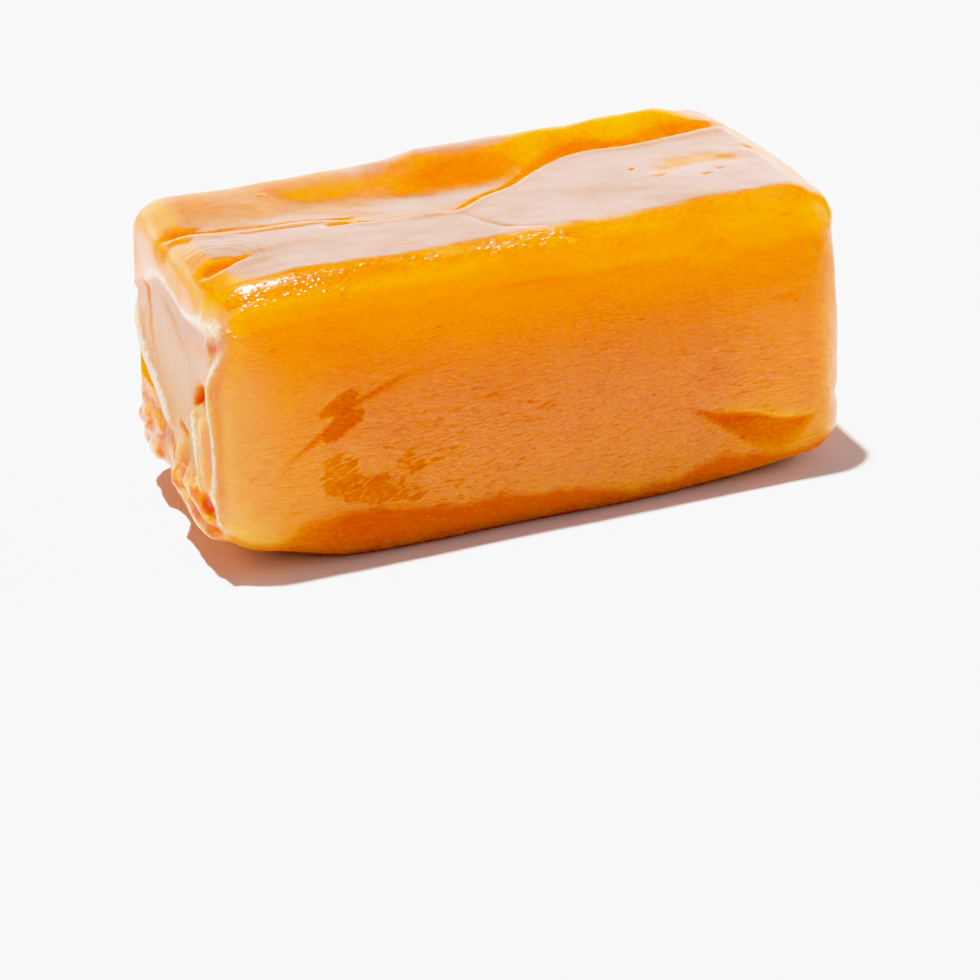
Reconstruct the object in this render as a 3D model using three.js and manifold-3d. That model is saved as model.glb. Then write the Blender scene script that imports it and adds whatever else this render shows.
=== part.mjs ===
// A butter caramel: one soft block of chewy caramel, cut to length and unwrapped, lying on its base.
// Millimetres, +Z up. X runs along the block, Y from its front to its back, and z = 0 is the surface
// it rests on. The blade that cut the ends dragged the top down over them, left raised rims beside
// their cut faces and crumpled their feet. A fold crosses the top, and the front is scratched.
import * as THREE from "three";
import { mergeVertices } from "three/addons/utils/BufferGeometryUtils.js";
import Module from "manifold-3d";

// ---- Driving dimensions ----
const LENGTH = 34;
const DEPTH = 17;
const HEIGHT = 16.1;
const HALF = [LENGTH / 2, DEPTH / 2, HEIGHT / 2];
const FOOT_CUT = 0.3; // how much of the rounded underside the flat resting face takes off
const OFF_CENTRE = [0.12, 0.36]; // the slumped block's middle in X and Y, from the straight block's

// Cells of the skin along X, Y and Z, and how strongly its lines crowd towards the edges.
const CELLS = [42, 24, 20];
const CROWDING = 1.2;

// ---- Edges and corners of the block ----
const LEFT = -1;
const RIGHT = 1;
const FRONT = -1;
const BACK = 1;
const BOTTOM = -1;
const TOP = 1;

// Each edge runs along one axis (0 is X), and its two sides are named in the order X, Y, Z.
const EDGES = [
  { along: 0, sides: [FRONT, TOP], radius: 1.9 },
  { along: 0, sides: [BACK, TOP], radius: 1.7 },
  { along: 0, sides: [FRONT, BOTTOM], radius: 1.9 },
  { along: 0, sides: [BACK, BOTTOM], radius: 1.7 },
  { along: 1, sides: [LEFT, TOP], radius: 1.5 },
  { along: 1, sides: [RIGHT, TOP], radius: 1.7 },
  { along: 1, sides: [LEFT, BOTTOM], radius: 3.1 },
  { along: 1, sides: [RIGHT, BOTTOM], radius: 1.8 },
  { along: 2, sides: [LEFT, FRONT], radius: 1.3 },
  { along: 2, sides: [RIGHT, FRONT], radius: 1.6 },
  { along: 2, sides: [LEFT, BACK], radius: 1.2 },
  { along: 2, sides: [RIGHT, BACK], radius: 2.1 },
];
const EDGE_HOLD = 8; // the higher, the nearer to its edge a radius holds
// Corners rounder than the edges that meet there. A lower hold spreads them further along those edges.
const ROUNDER_CORNERS = [
  { at: [LEFT, FRONT, TOP], radius: 3.0, weight: 6, hold: 12 },
  { at: [RIGHT, FRONT, TOP], radius: 2.8, weight: 4, hold: 5 },
  { at: [LEFT, FRONT, BOTTOM], radius: 4.2, weight: 2, hold: 8 },
];

// How far the soft block's corners have moved from a true box's.
const CORNERS = [
  { at: [LEFT, FRONT, TOP], moved: [0.25, 0, -0.15] },
  { at: [RIGHT, FRONT, TOP], moved: [0.75, 0, -0.15] },
  { at: [LEFT, FRONT, BOTTOM], moved: [-0.8, 0, -0.2] },
  { at: [RIGHT, FRONT, BOTTOM], moved: [0.65, 0, 0] },
  { at: [LEFT, BACK, TOP], moved: [0.1, -1.0, 0.1] },
  { at: [RIGHT, BACK, TOP], moved: [0.2, 0.85, 0.05] },
  { at: [LEFT, BACK, BOTTOM], moved: [-0.65, -0.6, 0] },
  { at: [RIGHT, BACK, BOTTOM], moved: [0.4, 0.6, 0] },
];
const RIGHT_CROWN = 0.55; // bulge of the right end
const LIFT_LEFT = { from: 9.3, to: 17.5, rise: 1.4 }; // the underside curls up towards both ends
const LIFT_RIGHT = { from: 5, to: 22, rise: 1.2 };

// ---- Relief, each in the coordinates of its own side: x, y, or t = depth below the top ----
// The fold on the top wanders along its front half, then crosses towards the back. Behind it the top
// steps down, deepest behind the bend, and climbs to a rim that stands up along the back.
const FOLD = {
  path: [[-18, 2.4], [-13.8, 0.3], [-8.6, -0.1], [-4.4, -1.7], [-1.8, -1.9], [5.8, 3.5], [9, 4.6], [19, 4.7]],
  edge: 0.3,
  step: 0.22,
};
const HOLLOW = { x: -0.6, halfLength: 6, depth: 0.4 };
const RIM = { y: 6.3, low: 0.22, high: 0.7, rise: [-5.2, -0.8], end: [13, 16.4], fall: 0.6, crest: 1.2 };
const TOP_PIT = { a: -14.9, b: -4.0, halfA: 1.3, halfB: 0.7, turn: 0.3, depth: 0.3 };

// The cut left end. A far rim slants down across it, and past the rim the face is sunk. The dragged
// top ends in a lip, and a torn tongue runs down beside the near rim.
const FAR_RIM = { topY: 8.2, slant: 0.87, from: 4.4, proud: 0.2, width: 0.4, sunk: 0.25, edge: 0.6 };
const LIP = { from: 2.2, to: 3.3, proud: 0.2 };
const NEAR_RIM = { path: [[-7.9, 3], [-7.8, 8], [-8.0, 13.2]], width: 0.5, height: 0.3 };
const TONGUE = { path: [[-4.9, 6.7], [-5.0, 9.2], [-5.4, 11.2], [-6.9, 13.2]], width: 0.6, height: 0.4 };
const GULLEY = { path: [[-6.2, 6.3], [-6.3, 9.5], [-6.9, 11.6]], width: 0.5, height: -0.3 };
// Crumpled ridges low on both cut ends, running down towards the front.
const CRUMPLE = { from: 9.2, full: 11.8, to: 15, height: 0.45, sunk: 0.4, spacing: 1.9, slope: 0.62 };
const CRUMPLE_WAVER = { byDepth: [0.5, 1.9], byWidth: [0.35, 1.3] }; // each an amount and its pace

// The front: a scratch with a leaf-shaped dent on it, a mottled dent, and two a fingertip left.
const SCRATCH = { path: [[-14.2, 10.05], [-10.6, 7.3], [-8.35, 6.0], [-5.9, 5.4]], width: 0.3, height: -0.1 };
const FRONT_DENTS = [
  { a: -10.6, b: 7.2, halfA: 1.7, halfB: 0.75, turn: -0.62, depth: 0.2 },
  { a: -9.0, b: 11.4, halfA: 3.0, halfB: 1.6, turn: 0.1, depth: 0.22 },
  { a: 10.6, b: 2.6, halfA: 1.1, halfB: 0.6, turn: 0, depth: 0.15 },
  { a: 14.1, b: 5.2, halfA: 0.9, halfB: 0.6, turn: 0, depth: 0.12 },
];
// A scoop low on the front: it steps in along its top and slopes back out below.
const SCOOP = { x: 12.9, halfLength: 3.8, top: 11.9, bottom: 14.4, depth: 0.45, edge: 0.4 };

const BACK_CREASE = { path: [[-11.5, 5.2], [-4.0, 6.4], [3.5, 5.6]], width: 0.8, height: -0.25 };
const BACK_DENTS = [
  { a: -7.5, b: 9.8, halfA: 3.6, halfB: 2.0, turn: 0.35, depth: 0.3 },
  { a: 9.2, b: 8.6, halfA: 3.2, halfB: 1.8, turn: -0.4, depth: 0.28 },
];
const SIDE_FADE = [0.45, 0.9]; // a side's relief fades out as its edges turn away

// ---- Small functions ----
const { smoothstep, clamp, lerp } = THREE.MathUtils;
const hump = (distance, width) => Math.exp(-((distance / width) ** 2));
const cornerWeight = (u, at) => at.reduce((product, side, axis) => product * (1 + side * u[axis]) / 2, 1);

// An oval dent's depth at (a, b): full in the middle and gone past its rim.
function dent(a, b, d) {
  const along = (a - d.a) * Math.cos(d.turn) + (b - d.b) * Math.sin(d.turn);
  const across = (b - d.b) * Math.cos(d.turn) - (a - d.a) * Math.sin(d.turn);
  const reach = Math.hypot(along / d.halfA, across / d.halfB);
  return d.depth * (1 - smoothstep(reach, 0.3, 1.25));
}

const dents = (a, b, list) => list.reduce((sum, d) => sum + dent(a, b, d), 0);

// The height at a of a line that joins points one after the other.
function alongPath(a, path) {
  const next = Math.max(1, path.findIndex((point) => point[0] > a));
  const [[fromA, fromB], [toA, toB]] = [path[next - 1], path[next]];
  return lerp(fromB, toB, (a - fromA) / (toA - fromA));
}

// A ridge along a path of points, or with a negative height a furrow.
function ridge(a, b, { path, width, height }) {
  let nearest = Infinity;
  for (let i = 1; i < path.length; i++) {
    const [fromA, fromB] = path[i - 1];
    const [stepA, stepB] = [path[i][0] - fromA, path[i][1] - fromB];
    const share = ((a - fromA) * stepA + (b - fromB) * stepB) / (stepA ** 2 + stepB ** 2);
    const s = clamp(share, 0, 1);
    nearest = Math.min(nearest, Math.hypot(a - fromA - s * stepA, b - fromB - s * stepB));
  }
  return height * hump(nearest, width);
}

// ---- Relief of each side, in millimetres outwards ----
function topRelief(x, y) {
  const foldY = alongPath(x, FOLD.path);
  const rimmed = 1 - smoothstep(x, RIM.end[0], RIM.end[1]);
  const rim = lerp(RIM.low, RIM.high, smoothstep(x, RIM.rise[0], RIM.rise[1])) * rimmed;
  const depth = (FOLD.step + HOLLOW.depth * hump(x - HOLLOW.x, HOLLOW.halfLength)) * lerp(0.3, 1, rimmed);
  const climb = (rim + depth) * smoothstep(y, foldY, RIM.y) - depth;
  const past = y - RIM.y;
  const fall = RIM.fall * Math.max(past, 0) * smoothstep(past, 0, RIM.crest) * rimmed;
  return smoothstep(y - foldY, -FOLD.edge, FOLD.edge) * (climb - fall) - dent(x, y, TOP_PIT);
}

function crumple(y, t) {
  const waver = CRUMPLE_WAVER.byDepth[0] * Math.sin(CRUMPLE_WAVER.byDepth[1] * t)
    + CRUMPLE_WAVER.byWidth[0] * Math.sin(CRUMPLE_WAVER.byWidth[1] * y);
  const across = (y + CRUMPLE.slope * t + waver) / CRUMPLE.spacing;
  const crest = 1 - Math.abs(Math.sin(Math.PI * across));
  const low = smoothstep(t, CRUMPLE.from, CRUMPLE.full) * (1 - smoothstep(t, CRUMPLE.full, CRUMPLE.to));
  return CRUMPLE.height * (crest - CRUMPLE.sunk) * low;
}

function leftRelief(y, t) {
  const past = y - FAR_RIM.topY + FAR_RIM.slant * Math.max(t - FAR_RIM.from, 0);
  const farRim = FAR_RIM.proud * hump(past, FAR_RIM.width) - FAR_RIM.sunk * smoothstep(past, 0, FAR_RIM.edge);
  const lip = LIP.proud * (1 - smoothstep(t, LIP.from, LIP.to));
  return farRim + lip + ridge(y, t, NEAR_RIM) + ridge(y, t, TONGUE) + ridge(y, t, GULLEY) + crumple(y, t);
}

const rightRelief = (y, t) => LIP.proud * (1 - smoothstep(t, LIP.from, LIP.to)) + crumple(-y, t);

function frontRelief(x, t) {
  const length = 1 - smoothstep(Math.abs(x - SCOOP.x), SCOOP.halfLength / 2, SCOOP.halfLength);
  const slope = clamp((SCOOP.bottom - t) / (SCOOP.bottom - SCOOP.top), 0, 1);
  const scoop = SCOOP.depth * length * slope * smoothstep(t, SCOOP.top - SCOOP.edge, SCOOP.top);
  return ridge(x, t, SCRATCH) - scoop - dents(x, t, FRONT_DENTS);
}

const backRelief = (x, t) => ridge(x, t, BACK_CREASE) - dents(x, t, BACK_DENTS);

function relief([x, y, z], normal) {
  const t = HALF[2] - z;
  const facing = (axis, side) => smoothstep(side * normal[axis], SIDE_FADE[0], SIDE_FADE[1]);
  return facing(2, TOP) * topRelief(x, y)
    + facing(0, LEFT) * leftRelief(y, t)
    + facing(0, RIGHT) * rightRelief(y, t)
    + facing(1, FRONT) * frontRelief(x, t)
    + facing(1, BACK) * backRelief(x, t);
}

// ---- The soft block ----
function edgeRadius(u) {
  const near = EDGES.map(({ along, sides, radius }) => {
    const [i, j] = [0, 1, 2].filter((axis) => axis !== along);
    const share = ((1 + sides[0] * u[i]) / 2) * ((1 + sides[1] * u[j]) / 2);
    return { radius, weight: share ** EDGE_HOLD };
  });
  for (const { at, radius, weight, hold } of ROUNDER_CORNERS) {
    near.push({ radius, weight: weight * cornerWeight(u, at) ** hold });
  }
  const total = near.reduce((sum, { weight }) => sum + weight, 0) + 1e-12; // the middle is near none
  return near.reduce((sum, { radius, weight }) => sum + radius * weight, 0) / total;
}

// A point of the sharp box, moved onto the box with rounded edges, and the normal there.
function roundEdges(p) {
  const radius = edgeRadius(p.map((value, axis) => value / HALF[axis]));
  const core = p.map((value, axis) => clamp(value, radius - HALF[axis], HALF[axis] - radius));
  const normal = new THREE.Vector3(...p).sub(new THREE.Vector3(...core)).normalize().toArray();
  return { point: core.map((value, axis) => value + radius * normal[axis]), normal };
}

// Moves the corners, crowns the right end and lifts the underside's ends.
function slump(p) {
  const u = p.map((value, axis) => value / HALF[axis]);
  const moved = [...p];
  for (const { at, moved: shifts } of CORNERS) {
    shifts.forEach((shift, axis) => (moved[axis] += cornerWeight(u, at) * shift));
  }
  moved[0] += RIGHT_CROWN * (1 - u[1] ** 2) * smoothstep(u[0], 0.5, 1);
  const low = 1 - smoothstep(u[2], -1, 0.4);
  const { from, to, rise } = moved[0] < 0 ? LIFT_LEFT : LIFT_RIGHT;
  moved[2] += low * rise * smoothstep(Math.abs(moved[0]), from, to);
  return moved;
}

function blockGeometry() {
  const box = new THREE.BoxGeometry(LENGTH, DEPTH, HEIGHT, ...CELLS);
  box.deleteAttribute("normal");
  box.deleteAttribute("uv");
  const skin = mergeVertices(box);
  const position = skin.getAttribute("position");
  const crowd = (u) => Math.sin(CROWDING * u) / Math.sin(CROWDING);
  for (let i = 0; i < position.count; i++) {
    const even = [position.getX(i), position.getY(i), position.getZ(i)];
    const crowded = even.map((value, axis) => HALF[axis] * crowd(value / HALF[axis]));
    const { point, normal } = roundEdges(crowded);
    const place = slump(point);
    const height = relief(place, normal);
    const [x, y, z] = place.map((value, axis) => value + height * normal[axis]);
    position.setXYZ(i, x - OFF_CENTRE[0], y - OFF_CENTRE[1], z + HALF[2] - FOOT_CUT);
  }
  return skin;
}

// Everything below the surface that the caramel rests on.
function groundGeometry() {
  const box = new THREE.BoxGeometry(2 * LENGTH, 2 * DEPTH, HEIGHT);
  box.deleteAttribute("normal");
  box.deleteAttribute("uv");
  box.translate(0, 0, -HALF[2]);
  return mergeVertices(box);
}

// ---- Cutting the foot flat ----
const wasm = await Module();
wasm.setup();

function solid(geometry) {
  return new wasm.Manifold(new wasm.Mesh({
    numProp: 3,
    vertProperties: new Float32Array(geometry.getAttribute("position").array),
    triVerts: new Uint32Array(geometry.index.array),
  }));
}

function geometryOf(manifold) {
  const mesh = manifold.getMesh();
  const geometry = new THREE.BufferGeometry();
  geometry.setAttribute("position", new THREE.BufferAttribute(mesh.vertProperties, 3));
  geometry.setIndex(new THREE.BufferAttribute(mesh.triVerts, 1));
  geometry.computeVertexNormals();
  return geometry;
}

const caramel = new THREE.Mesh(
  geometryOf(solid(blockGeometry()).subtract(solid(groundGeometry()))),
  new THREE.MeshStandardMaterial({ color: 0xe08a26, roughness: 0.3, metalness: 0 }),
);
caramel.name = "caramel";

const part = new THREE.Group();
part.add(caramel);

export default part;
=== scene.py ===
"""A butter caramel's looks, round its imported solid: one soft block of chewy caramel, cut to length
and unwrapped, on a white studio floor. Shapes are worked out in millimetres about the middle of the
straight block, and the finished mesh is in metres in the part's own frame."""

import math

import bpy
import numpy as np
from mathutils import Matrix, Vector, noise


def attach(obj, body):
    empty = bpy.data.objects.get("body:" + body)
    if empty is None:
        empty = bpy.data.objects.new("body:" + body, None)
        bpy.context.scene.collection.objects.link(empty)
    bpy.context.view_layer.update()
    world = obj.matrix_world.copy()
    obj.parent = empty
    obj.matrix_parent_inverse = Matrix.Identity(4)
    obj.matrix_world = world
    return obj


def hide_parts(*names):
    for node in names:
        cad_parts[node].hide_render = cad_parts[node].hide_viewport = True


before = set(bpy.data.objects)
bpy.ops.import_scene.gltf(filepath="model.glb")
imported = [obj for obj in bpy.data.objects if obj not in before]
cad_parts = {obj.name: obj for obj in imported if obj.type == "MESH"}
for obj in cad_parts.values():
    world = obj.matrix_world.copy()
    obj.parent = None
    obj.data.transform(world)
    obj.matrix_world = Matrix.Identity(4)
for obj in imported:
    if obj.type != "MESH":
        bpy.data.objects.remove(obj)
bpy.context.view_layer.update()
MM = 0.001

# ---- Driving dimensions, in millimetres, the same as the solid's ----
LENGTH, DEPTH, HEIGHT = 34.0, 17.0, 16.1
HALF = np.array([LENGTH, DEPTH, HEIGHT]) / 2
FOOT_CUT = 0.3  # how much of the rounded underside the flat resting face takes off
OFF_CENTRE = (0.12, 0.36)  # the slumped block's middle in X and Y, from the straight block's

LEFT, RIGHT, FRONT, BACK, BOTTOM, TOP = -1, 1, -1, 1, -1, 1
# Each edge runs along one axis (0 is X), and its two sides are named in the order X, Y, Z.
EDGES = [
    {"along": 0, "sides": (FRONT, TOP), "radius": 1.9},
    {"along": 0, "sides": (BACK, TOP), "radius": 1.7},
    {"along": 0, "sides": (FRONT, BOTTOM), "radius": 1.9},
    {"along": 0, "sides": (BACK, BOTTOM), "radius": 1.7},
    {"along": 1, "sides": (LEFT, TOP), "radius": 1.5},
    {"along": 1, "sides": (RIGHT, TOP), "radius": 1.7},
    {"along": 1, "sides": (LEFT, BOTTOM), "radius": 3.1},
    {"along": 1, "sides": (RIGHT, BOTTOM), "radius": 1.8},
    {"along": 2, "sides": (LEFT, FRONT), "radius": 1.3},
    {"along": 2, "sides": (RIGHT, FRONT), "radius": 1.6},
    {"along": 2, "sides": (LEFT, BACK), "radius": 1.2},
    {"along": 2, "sides": (RIGHT, BACK), "radius": 2.1},
]
EDGE_HOLD = 8  # the higher, the nearer to its edge a radius holds
# Corners rounder than the edges that meet there. A lower hold spreads them further along those edges.
ROUNDER_CORNERS = [
    {"at": (LEFT, FRONT, TOP), "radius": 3.0, "weight": 6, "hold": 12},
    {"at": (RIGHT, FRONT, TOP), "radius": 2.8, "weight": 4, "hold": 5},
    {"at": (LEFT, FRONT, BOTTOM), "radius": 4.2, "weight": 2, "hold": 8},
]

# How far the soft block's corners have moved from a true box's.
CORNERS = [
    {"at": (LEFT, FRONT, TOP), "moved": (0.25, 0, -0.15)},
    {"at": (RIGHT, FRONT, TOP), "moved": (0.75, 0, -0.15)},
    {"at": (LEFT, FRONT, BOTTOM), "moved": (-0.8, 0, -0.2)},
    {"at": (RIGHT, FRONT, BOTTOM), "moved": (0.65, 0, 0)},
    {"at": (LEFT, BACK, TOP), "moved": (0.1, -1.0, 0.1)},
    {"at": (RIGHT, BACK, TOP), "moved": (0.2, 0.85, 0.05)},
    {"at": (LEFT, BACK, BOTTOM), "moved": (-0.65, -0.6, 0)},
    {"at": (RIGHT, BACK, BOTTOM), "moved": (0.4, 0.6, 0)},
]
RIGHT_CROWN = 0.55  # bulge of the right end
# The front leans back between these depths, most at the top.
FRONT_LEAN = {"from": 1.5, "to": 6.5, "slope": 0.2}
# The top front edge droops towards its left end.
DROOP = {"x": (-11.5, -17.5), "y": (-2.0, -8.0), "drop": 0.3}
LIFT_LEFT = {"start": 9.3, "end": 17.5, "rise": 1.4}  # the underside curls up towards both ends
LIFT_RIGHT = {"start": 5, "end": 22, "rise": 1.2}

# ---- The top: x, y ----
# A fold wanders along the front half and crosses to the back. Behind it the top steps down, deepest
# behind the bend, and climbs to a rim that stands up along the back.
FOLD_LINE = [
    (-18, 2.6), (-16.4, 1.6), (-15.2, 0.9), (-13.7, 0.4), (-11.8, 0.0), (-9.4, 0.1), (-7.8, -0.5),
    (-6.3, -1.2), (-4.6, -1.25), (-2.9, -1.35), (-1.6, -1.75), (-0.6, -1.15), (0.2, -0.6), (2.0, 0.25),
    (3.9, 1.8), (6.3, 3.5), (7.9, 3.9), (10.5, 3.7), (13, 4.1), (19, 4.7),
]
FOLD_EDGE = 0.14
FOLD_SOFTER = 0.12  # by the hollow
FOLD_LIP = {"behind": -0.35, "width": 0.4, "height": 0.04}
FOLD_CREASE = {"behind": 0.12, "width": 0.14, "depth": 0.09, "rise": (-17, -15), "fall": (10, 13)}
FOLD_FOOT = (0.6, 0.95)  # how far behind the fold its bare foot reaches
FOLD_DEPTH = {"everywhere": 0.18, "in_hollow": 0.14, "hollow_x": -0.6, "half_length": 6.0, "less_at_end": 0.7}
LEDGE = {"width": 2.4, "rise": (-13, -8), "fall": (-1.5, 3)}  # the flat strip behind it, left of the bend
RIM = {"y": 6.1, "y_right": 6.6, "shift": (5, 10), "low": 0.22, "high": 0.74, "rise": (-5.2, -0.8),
       "end": (13, 16.4), "fall": 0.6}
RIM_DIPS = [{"x": 8.3, "width": 1.5, "depth": 0.15}, {"x": -2.6, "width": 1.3, "depth": 0.08}]

SWELL = [(-3.5, -7.5), (0, -7.6), (4, -7.6), (8.5, -7.5), (12, -7.2)]  # along the front edge
FOLD_START = [(-9.0, -1.15), (-7.6, -1.2), (-6.0, -1.25)]  # short furrows before and behind the fold
FOLD_TAIL = [(-9.6, 0.2), (-8.0, 0.1), (-6.4, 0.0)]
# A scar runs forward from the bend, a pit lies in the front left corner, and stains on the right.
SCAR = [(-2.0, -2.2), (-1.45, -3.1), (-1.1, -4.2), (-0.5, -5.2), (0.8, -5.9), (2.3, -6.2)]
PIT = {"at": (-15.4, -3.8), "turn": 0.25}
PIT_TAIL = [(-15.2, -3.9), (-14.2, -3.6), (-13.4, -3.4)]
STAIN = [(9.4, -0.9), (12.1, -0.4), (14.1, -0.3), (15.6, -1.2)]
STAIN_BRANCH = [(10.6, 0.1), (12.8, 0.5), (14.6, 0.5)]
STAIN_SPOT = {"at": (9.9, -1.75), "turn": 0.2}
# Marks are furrows along a path (ridges where the height is positive) and oval dents.
TOP_MARKS = [
    {"path": SWELL, "width": 0.8, "height": 0.2},
    {"path": FOLD_START, "width": 0.13, "height": -0.1},
    {"path": FOLD_TAIL, "width": 0.13, "height": -0.08},
    {"path": [(-13.4, -0.6), (-10.2, -0.75), (-7.9, -0.7)], "width": 0.1, "height": -0.05},
    {"path": [(-14.5, 1.1), (-11.5, 0.6), (-9.5, 0.6)], "width": 0.13, "height": -0.06},
    {"path": [(-17.2, 3.2), (-16.6, 2.2), (-15.8, 1.5), (-14.4, 1.1)], "width": 0.5, "height": -0.14,
     "taper": 0.35},
    {**PIT, "half": (1.0, 0.55), "depth": 0.2},
    {"path": PIT_TAIL, "width": 0.16, "height": -0.07},
    {"path": [(-16.9, 1.0), (-16.3, 0.9), (-15.5, 0.2)], "width": 0.25, "height": 0.12},
    {"path": SCAR, "width": 0.16, "height": -0.035},
    {"path": [(2.0, -6.95), (3.0, -7.25), (3.5, -7.6), (3.6, -8.2)], "width": 0.16, "height": -0.12},
    {"path": STAIN, "width": 0.55, "height": -0.08},
    {"path": STAIN_BRANCH, "width": 0.45, "height": -0.05},
    {"path": [(16.0, 1.3), (16.5, 0.2), (16.9, -1.8)], "width": 0.3, "height": -0.1},
    {**STAIN_SPOT, "half": (0.6, 0.14), "depth": 0.08},
    {"at": (12.3, -2.6), "half": (0.45, 0.14), "turn": 0.2, "depth": 0.08},
    {"at": (13.4, -2.0), "half": (0.4, 0.12), "turn": 0.2, "depth": 0.07},
    {"at": (8.9, -0.3), "half": (0.25, 0.15), "turn": 0.2, "depth": 0.08},
    {"at": (-10.4, 4.7), "half": (0.2, 0.15), "depth": -0.06},
]

# ---- The left end: y, t = depth below the top ----
# The blade dragged the top down into a lip and left a rim on either side of the face.
LIP_LINE = [
    (-9, 2.4), (-6.3, 2.4), (-4.4, 2.7), (-3, 2.8), (-1.8, 2.5), (-0.3, 2.25), (1.2, 2.3), (2.5, 2.6),
    (3.4, 3.05), (9, 5.5),
]
LIP = 0.18
LIP_ROLL = {"above": 0.3, "width": 0.42, "height": 0.14}
FAR_RIM = [
    (8.6, 2.4), (7.6, 5), (6.7, 6.4), (5.9, 7.4), (4.6, 8.05), (3.5, 8.6), (2.4, 9.0), (1.5, 9.4),
    (0.7, 10.0), (0.0, 10.6),
]
NEAR_RIM = [
    (-7.5, 2.2), (-7.9, 2.9), (-7.7, 3.7), (-7.4, 4.5), (-7.1, 5.4), (-7.2, 6.3), (-7.5, 7.1), (-7.7, 8.1),
    (-7.75, 9.2), (-7.7, 10.4), (-7.6, 11.5), (-7.5, 12.4), (-7.8, 13.2),
]
# Low on the face it tore: a tongue hangs in a notch beside the near rim, and folds sag to the foot.
TONGUE = [(-5.7, 6.9), (-6.0, 8.2), (-6.3, 9.4), (-6.9, 10.6), (-7.3, 11.8)]
TONGUE_EDGE = [(-4.2, 7.2), (-4.6, 8.4), (-4.9, 9.4), (-5.7, 10.4), (-6.6, 11.3)]
NOTCH = [(-3.9, 7.5), (-4.3, 6.8), (-5.0, 6.15), (-6.0, 6.05), (-6.9, 6.6)]
SLIT = {"at": (-4.4, 9.7), "half": (0.3, 0.8)}
TEAR = [(-1.2, 9.3), (-2.1, 9.5), (-3.1, 9.6)]
UPPER_FOLD = [(-2.8, 11.2), (-4.0, 11.6), (-5.4, 12.0), (-6.6, 12.5), (-7.6, 12.9)]
LOWER_FOLD = [(-0.2, 11.5), (-1.6, 12.7), (-3.6, 13.3), (-6.0, 13.6), (-7.8, 13.6)]
LEFT_MARKS = [
    {"path": FAR_RIM, "width": 0.32, "height": 0.24, "taper": 0.12},
    {"path": NEAR_RIM, "width": 0.2, "height": 0.24, "taper": 0.08},
    {"path": [(4.7, 2.9), (4.1, 4.3), (3.9, 6.0), (3.4, 7.1), (2.6, 8.2)], "width": 0.28, "height": -0.16},
    {"path": [(1.6, 3.4), (0.2, 3.9), (-1.6, 4.9), (-3.4, 5.6)], "width": 0.35, "height": -0.07},
    {"at": (-7.1, 3.05), "half": (0.3, 0.55), "turn": 0.2, "depth": 0.18},
    {"path": TONGUE, "width": 0.8, "height": 0.3, "crisp": 4},
    {"path": TONGUE_EDGE, "width": 0.16, "height": 0.3, "taper": 0.1},
    {"path": NOTCH, "width": 0.3, "height": -0.45, "taper": 0.1},
    {"at": (-5.5, 6.75), "half": (1.4, 0.55), "turn": 0.1, "depth": 0.35},
    {**SLIT, "depth": 0.5},
    {"at": (-2.1, 10.75), "half": (0.6, 0.8), "depth": -0.35, "flat": 0.5},
    {"path": TEAR, "width": 0.16, "height": -0.35},
    {"path": UPPER_FOLD, "width": 0.42, "height": 0.45, "crisp": 3},
    {"path": LOWER_FOLD, "width": 0.5, "height": 0.45, "crisp": 3},
    {"path": [(-1.6, 11.9), (-3.6, 12.5), (-6.0, 13.0), (-7.6, 13.3)], "width": 0.16, "height": -0.3},
    {"path": [(2.6, 13.2), (0.5, 13.6), (-1.5, 14.1), (-4.5, 14.4), (-7, 14.4)], "width": 0.35,
     "height": 0.25},
    {"at": (5.3, 11.5), "half": (1.2, 0.9), "turn": 0.2, "depth": -0.3, "flat": 0.6, "rim": 1.15},
    {"at": (3.0, 10.9), "half": (0.9, 0.6), "turn": -0.3, "depth": -0.28, "flat": 0.6, "rim": 1.15},
    {"at": (3.7, 12.8), "half": (1.3, 0.6), "turn": 0.2, "depth": -0.3, "flat": 0.6, "rim": 1.2},
    {"at": (0.2, 11.6), "half": (0.4, 0.5), "depth": 0.4},
    {"at": (3.4, 13.7), "half": (0.6, 0.35), "depth": 0.3},
]
LEFT_CRUMPLE = 0.2
RIGHT_MARKS = [
    {"path": [(7.7, 3), (7.9, 7), (7.6, 11), (7.9, 13)], "width": 0.4, "height": 0.15, "taper": 0.1},
    {"path": [(-7.6, 3), (-7.8, 6), (-7.5, 9), (-7.7, 12)], "width": 0.35, "height": 0.12, "taper": 0.1},
    {"path": [(6.2, 8.6), (5.8, 10.6), (4.9, 12.4), (3.6, 13.6)], "width": 0.5, "height": 0.3, "crisp": 3},
    {"path": [(4.0, 11.4), (1.6, 12.6), (-1.4, 13.1), (-4.4, 12.9), (-7.2, 13.3)], "width": 0.5,
     "height": 0.32, "crisp": 3},
    {"path": [(2.6, 10.4), (0.2, 11.3), (-2.8, 11.6), (-5.6, 11.4)], "width": 0.3, "height": 0.2},
    {"path": [(5.4, 3.4), (2.4, 4.8), (-1.6, 5.6), (-5.2, 5.0)], "width": 0.5, "height": -0.1},
    {"at": (-3.2, 8.6), "half": (2.4, 1.1), "turn": 0.3, "depth": 0.14},
]
RIGHT_LIP = 0.15
RIGHT_CRUMPLE = 0.16

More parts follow.
